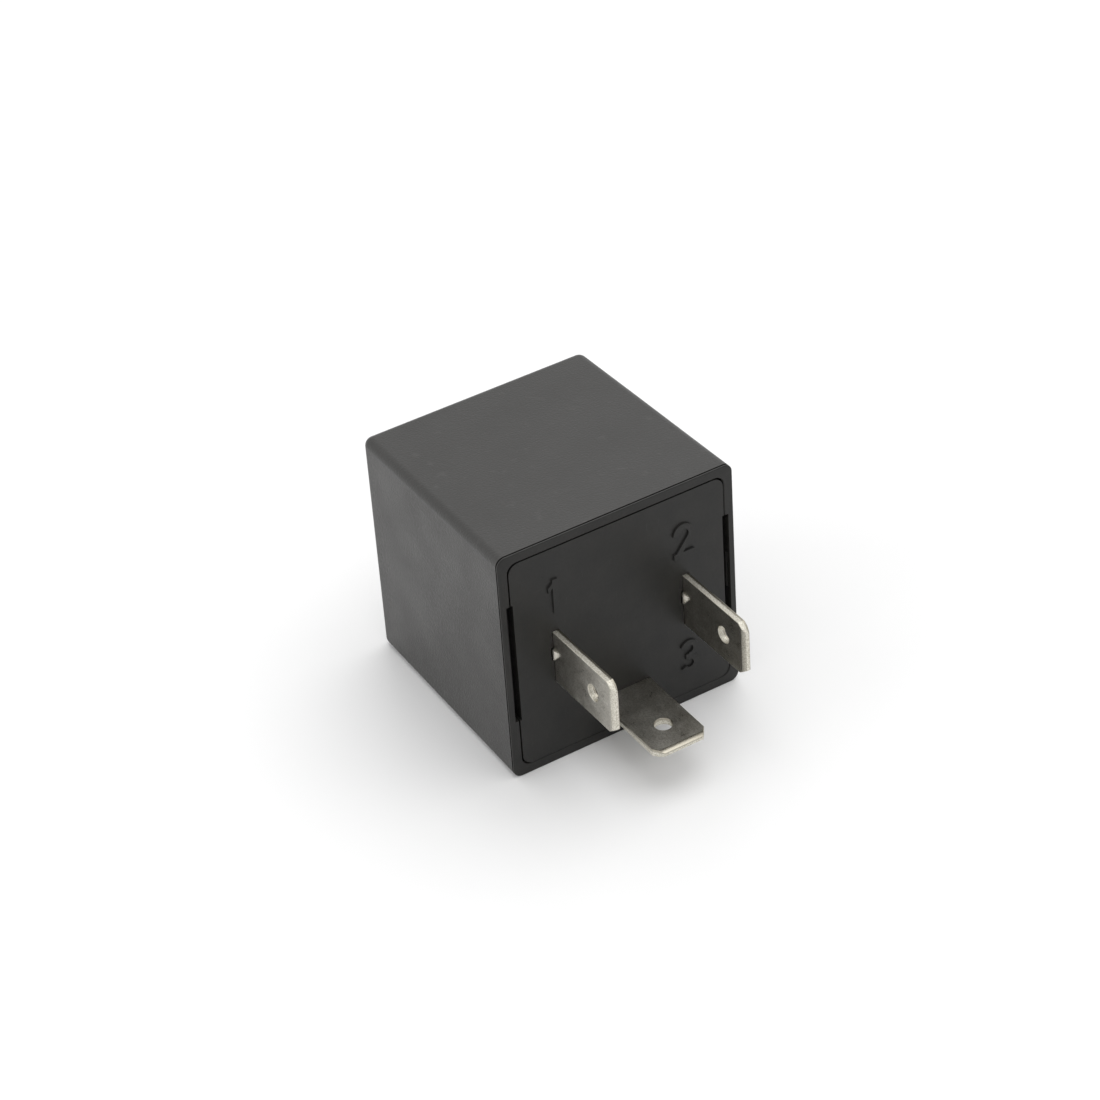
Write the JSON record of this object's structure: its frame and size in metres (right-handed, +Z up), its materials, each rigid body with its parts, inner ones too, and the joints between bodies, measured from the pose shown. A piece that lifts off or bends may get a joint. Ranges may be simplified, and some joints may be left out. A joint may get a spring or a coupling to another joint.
{
  "type": "plug-in flasher relay",
  "caption": "Small black cube-shaped plug-in flasher relay with flat blade terminals, a push-on cover and a working electromagnet and armature inside.",
  "frame": {"origin": "centre of the base's seating face", "axes": "+Z up as the relay lies on one side of its cover, the blades point along -Y and the cover's closed end faces +Y, +X to the right seen from the blades"},
  "size_m": [0.0278, 0.0385, 0.0276],
  "materials": {
    "cover_plastic": "black glass-filled nylon, spark-eroded sides and a smoother top",
    "base_plastic": "black moulded nylon",
    "tin_plate": "tin-plated brass, scratched and dull",
    "board_laminate": "paper phenolic laminate",
    "solder": "tin solder and tinned wire",
    "zinc_steel": "zinc-plated soft iron",
    "bobbin_plastic": "dark moulded nylon",
    "copper_wire": "enamelled copper wire, wound in layers",
    "spring_bronze": "phosphor bronze strip",
    "brass": "rolled brass",
    "silver": "silver alloy contact",
    "can_aluminium": "drawn aluminium",
    "sleeve_film": "shrunk film sleeve",
    "bung_rubber": "moulded rubber",
    "chip_plastic": "moulded epoxy",
    "resistor_lacquer": "beige lacquer with colour bands",
    "diode_glass": "orange glass",
    "disc_resin": "dipped resin",
    "shunt_alloy": "copper-nickel resistance wire"
  },
  "bodies": {
    "base": {"base": "base_plastic", "terminal_1": "tin_plate", "terminal_2": "tin_plate", "terminal_3": "tin_plate", "board": "board_laminate", "solder_joints": "solder", "yoke": "zinc_steel", "core": "zinc_steel", "bobbin": "bobbin_plastic", "winding": "copper_wire", "coil_pins": "tin_plate", "hinge_spring": "spring_bronze", "hinge_rivets": "brass", "contact_bracket": "brass", "fixed_contact": "silver", "back_stop": "brass", "capacitor_can": "can_aluminium", "capacitor_sleeve": "sleeve_film", "capacitor_bung": "bung_rubber", "capacitor_leads": "solder", "chip_body": "chip_plastic", "chip_legs": "tin_plate", "resistor_bodies": "resistor_lacquer", "resistor_leads": "solder", "diode_body": "diode_glass", "diode_leads": "solder", "disc_capacitor": "disc_resin", "disc_leads": "solder", "shunt_wire": "shunt_alloy"},
    "cover": {"cover": "cover_plastic"},
    "armature": {"armature": "zinc_steel", "contact_spring": "spring_bronze", "armature_rivets": "brass", "moving_contact": "silver"}
  },
  "joints": [
    {"name": "cover_pull", "type": "slide", "parent": "base", "child": "cover", "axis": [0, 1, 0], "range_m": [0, 0.032]},
    {"name": "armature_hinge", "type": "hinge", "parent": "base", "child": "armature", "pos_m": [-0.0098, 0.01928, -0.0055], "axis": [0, 0, -1], "range_deg": [0, 2.5], "stiffness_Nm_per_rad": 0.01, "springref_deg": -11.46}
  ]
}
